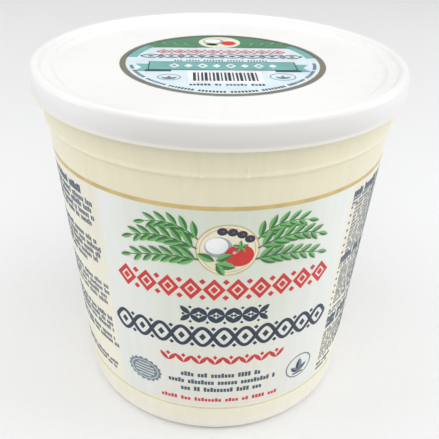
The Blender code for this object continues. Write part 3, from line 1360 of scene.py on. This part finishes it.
# where the bead's painted reflection lies
edge = ramp(tree, where["Height"], *SKIRT_REFLECTION_EDGE)
from_middle = sums(tree, "ABSOLUTE", sums(tree, "SUBTRACT", where["Angle"], SHADE_MIDDLE))
painted_side_light = ramp(tree, from_middle, *SHADE_FADE)
# high and low are the skirt's painted shade at its top and at its foot
high, low = (mix_colours(tree, painted_side_light, *pair) for pair in (SKIRT_TOP_PAINTED_SHADE, SKIRT_FOOT_PAINTED_SHADE))
skirt_shade_and_reflection = mix_colours(tree, edge, mix_colours(tree, shade_towards_foot, high, low), SKIRT_BEAD_PAINTED_REFLECTION)
dullness = ramp(tree, surface["Sheen Mask"], 0.0, 1.0, *LID_ROUGHNESS)
plug(
    tree,
    shader,
    Base_Color=mix_colours(tree, on_skirt, white, skirt_shade_and_reflection),
    Roughness=sums(tree, "ADD", dullness, sums(tree, "MULTIPLY", rubbed, RUBBED_DULLER)),
)
add_relief(tree, shader, surface["Relief"], LID_RELIEF)
paint(lid, lid_plastic)
print("lid plastic:", len(tree.nodes), "nodes, skirt from", round(SKIRT_MM, 1), "to", round(TOP_MM, 1), "mm")

# %% [markdown]
# ### Sticker and inks
#
# The sticker is a glossy film with an ice-blue ground. Each ink is a material of its own, all through
# the same ink group. The upper band's gold ink holds metal flakes, so it alone is partly metallic.

# %% Sticker and ink materials
INKS = {
    "leaf_green": (0.160, 0.440, 0.130),
    "deep_green": (0.035, 0.160, 0.040),
    "forest_ink": (0.070, 0.215, 0.115),
    "red_ink": (0.600, 0.022, 0.018),
    "rose_ink": (0.850, 0.420, 0.360),
    "navy_ink": (0.012, 0.030, 0.062),
    "slate_ink": (0.160, 0.215, 0.265),
    "text_ink": (0.038, 0.076, 0.132),
    "cream_ink": (0.800, 0.750, 0.570),
    "white_ink": (0.840, 0.850, 0.840),
    "shade_ink": (0.330, 0.380, 0.420),
    "pale_ink": (0.700, 0.740, 0.720),
    "teal_ink": (0.160, 0.400, 0.380),
    "fold_ink": (0.030, 0.070, 0.080),
    "rim_ink": (0.190, 0.168, 0.122),
    "gold_ink": (0.560, 0.430, 0.180),
}


def ink_material(name, colour, unevenness=0.08, metallic=0.0):
    made, tree, shader = new_material(name)
    uneven = use_group(tree, ink_group, Ink=(*colour, 1.0), Unevenness=unevenness)
    plug(tree, shader, Base_Color=uneven["Colour"], Roughness=uneven["Roughness"], Metallic=metallic)
    return made


ink_materials = {name: ink_material(name, colour) for name, colour in INKS.items()}
for piece, ink, _ in prints:
    paint(piece, ink_materials[ink])
paint(gold_band, ink_material("gold_band_ink", (0.600, 0.450, 0.180), 0.10, 0.15))
paint(pale_band, ink_material("pale_band_ink", (0.700, 0.640, 0.380), 0.10))
paint(sticker, ink_material("sticker_film", (0.645, 0.760, 0.805), 0.03))
print("materials:", len(bpy.data.materials))

# %% Bodies: attach the pieces and hide the imported parts
bodies = (
    (tub, "tub", "tub_plastic"),
    (lid, "lid", "lid_plastic"),
    (sticker, "lid_sticker", "sticker_film"),
)
prints.append((gold_band, "gold_band_ink", "tub_plastic"))
prints.append((pale_band, "pale_band_ink", "tub_plastic"))
for piece, node, slot in bodies:
    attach(piece, "root")
    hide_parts(node)
for piece, _, slot in prints:
    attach(piece, "root")
print("pieces:", len(bodies) + len(prints))

# %% [markdown]
# ## Floor, light and camera
#
# The stage is plain: a round pale floor, a shade whiter far away, and soft light from large panels, as
# for a shop picture. One large panel hangs overhead and lights the lid. Two in front lift the wall,
# and a slightly cool one at each side gives the round wall its bright flanks. The world adds an even
# glow from all round, so that the back is lit too. Only the camera sees it brighter, as a pale
# backdrop beyond the floor.

# %% Floor
FLOOR_RADIUS, PALER_FROM = 0.9, 0.25
FLOOR_DARK, FLOOR_PALE, FLOOR_FAR = ((grey, grey, grey, 1.0) for grey in (0.77, 0.80, 0.97))

bpy.ops.object.select_all(action="DESELECT")
bpy.ops.mesh.primitive_circle_add(vertices=96, radius=FLOOR_RADIUS, fill_type="NGON")
floor = new_piece("pale_floor")
floor_paint, tree, shader = new_material("pale_floor")
near = mix_colours(tree, noise(tree, object_place(tree), 300.0), FLOOR_DARK, FLOOR_PALE)
away = ramp(tree, use_group(tree, pack_place)["Radius"], PALER_FROM / MM, FLOOR_RADIUS / MM)
plug(tree, shader, Base_Color=mix_colours(tree, away, near, FLOOR_FAR), Roughness=0.7)
paint(floor, floor_paint)
print("floor, m across:", 2 * FLOOR_RADIUS)

# %% Light
NEUTRAL = (1.0, 1.0, 1.0)
PANELS = (
    ("top_panel", (0.0, 0.0, 0.95), 1.7, 1.7, 9.15, NEUTRAL),
    ("high_front_panel", (0.0, -0.60, 0.85), 0.9, 0.6, 2.3, NEUTRAL),
    ("front_panel", (0.0, -0.95, 0.55), 0.8, 0.5, 0.6, NEUTRAL),
    ("left_panel", (-0.75, 0.0, 0.32), 0.5, 0.5, 1.85, (0.95, 0.96, 1.0)),
    ("right_panel", (0.75, 0.0, 0.32), 0.5, 0.5, 2.50, (0.93, 0.95, 1.0)),
)
PACK_MIDDLE = Vector((0, 0, TOP / 2))
GLOW, BACKDROP = 0.35, 0.80


def add_to_scene(name, data, place, turn):
    thing = bpy.data.objects.new(name, data)
    bpy.context.scene.collection.objects.link(thing)
    thing.location = place
    thing.rotation_euler = turn
    return thing


for name, place, width, depth, watts, tint in PANELS:
    softbox = bpy.data.lights.new(name, "AREA")
    softbox.shape = "RECTANGLE"
    softbox.size = width
    softbox.size_y = depth
    softbox.energy = watts
    softbox.color = tint
    aim = (PACK_MIDDLE - Vector(place)).to_track_quat("-Z", "Y").to_euler()
    add_to_scene(name, softbox, place, aim)

world = bpy.data.worlds.new("studio")
world.use_nodes = True
tree = world.node_tree
strength = add_node(tree, "Mix", data_type="FLOAT")
seen = add_node(tree, "LightPath").outputs["Is Camera Ray"]
plug(tree, strength, A=GLOW, B=BACKDROP, Factor=seen)
plug(tree, tree.nodes["Background"], Color=(1, 1, 1, 1), Strength=strength.outputs["Result"])
bpy.context.scene.world = world
bpy.context.scene.view_settings.view_transform = "Standard"
print("softboxes:", len(PANELS))

# %% Camera
CAMERA_DISTANCE = 0.200
CAMERA_ELEVATION = math.radians(15.58)
CAMERA_TILT = math.radians(31.25)
CAMERA_HEADING = math.radians(0.345)
CAMERA_ROLL = math.radians(1.49)

lens = bpy.data.cameras.new("camera")
lens.sensor_width = 36.0
lens.lens = 48.78
lens.clip_start = 0.01
lens.clip_end = 20.0
rise = CAMERA_DISTANCE * math.sin(CAMERA_ELEVATION)
view_from = (0.0, -CAMERA_DISTANCE * math.cos(CAMERA_ELEVATION), TOP + rise)
view_turn = (
    Matrix.Rotation(-CAMERA_HEADING, 3, "Z")
    @ Matrix.Rotation(math.pi / 2 - CAMERA_TILT, 3, "X")
    @ Matrix.Rotation(CAMERA_ROLL, 3, "Z")
)
camera = add_to_scene("camera", lens, view_from, view_turn.to_euler())
bpy.context.scene.camera = camera
print("camera, mm from the axis:", round(-camera.location.y / MM), "height:", round(camera.location.z / MM))
